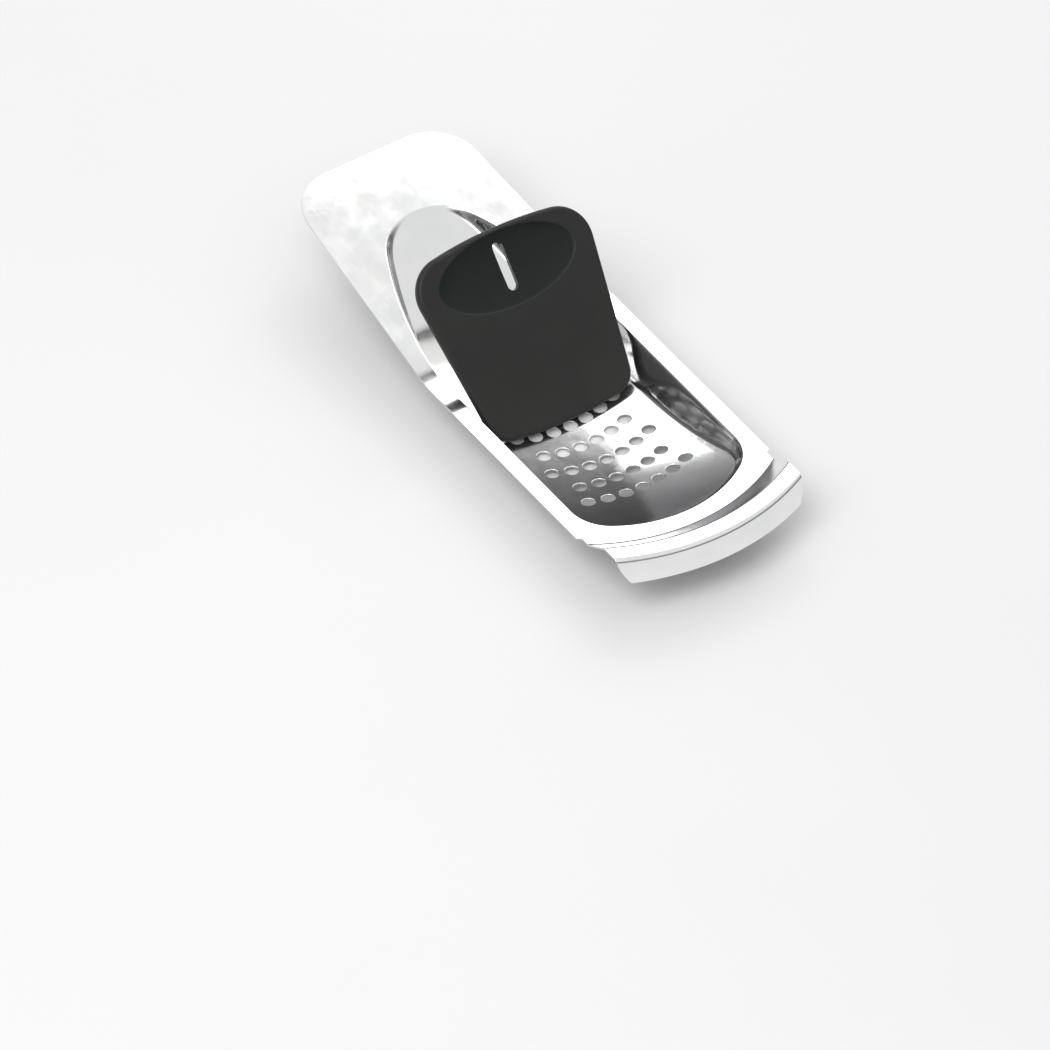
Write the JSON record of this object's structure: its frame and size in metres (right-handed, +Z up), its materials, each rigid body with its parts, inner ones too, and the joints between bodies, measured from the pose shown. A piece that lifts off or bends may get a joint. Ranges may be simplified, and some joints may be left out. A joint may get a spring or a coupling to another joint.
{
  "type": "spaetzle maker",
  "caption": "Spaetzle maker: long perforated steel tray with a trough, a curved hook for a pot's rim and a flat handle end, and a loose hand scraper that is pushed along the trough.",
  "frame": {"origin": "under the middle of the tray's length and width, at the level of the trough's lowest point", "axes": "+X along the tray towards the hook, +Y across it, +Z up out of the trough"},
  "size_m": [0.274, 0.098, 0.0674],
  "materials": {
    "steel": "bright polished stainless steel sheet",
    "black_plastic": "fine-grained black moulded plastic"
  },
  "bodies": {
    "tray": {"tray": "steel"},
    "scraper": {"scraper": "black_plastic"}
  },
  "joints": [
    {"name": "scraper_stroke", "type": "hinge", "parent": "tray", "child": "scraper", "pos_m": [0.01765, 0, 0.22041], "axis": [0, -1, 0], "range_deg": [-6, 16]}
  ]
}
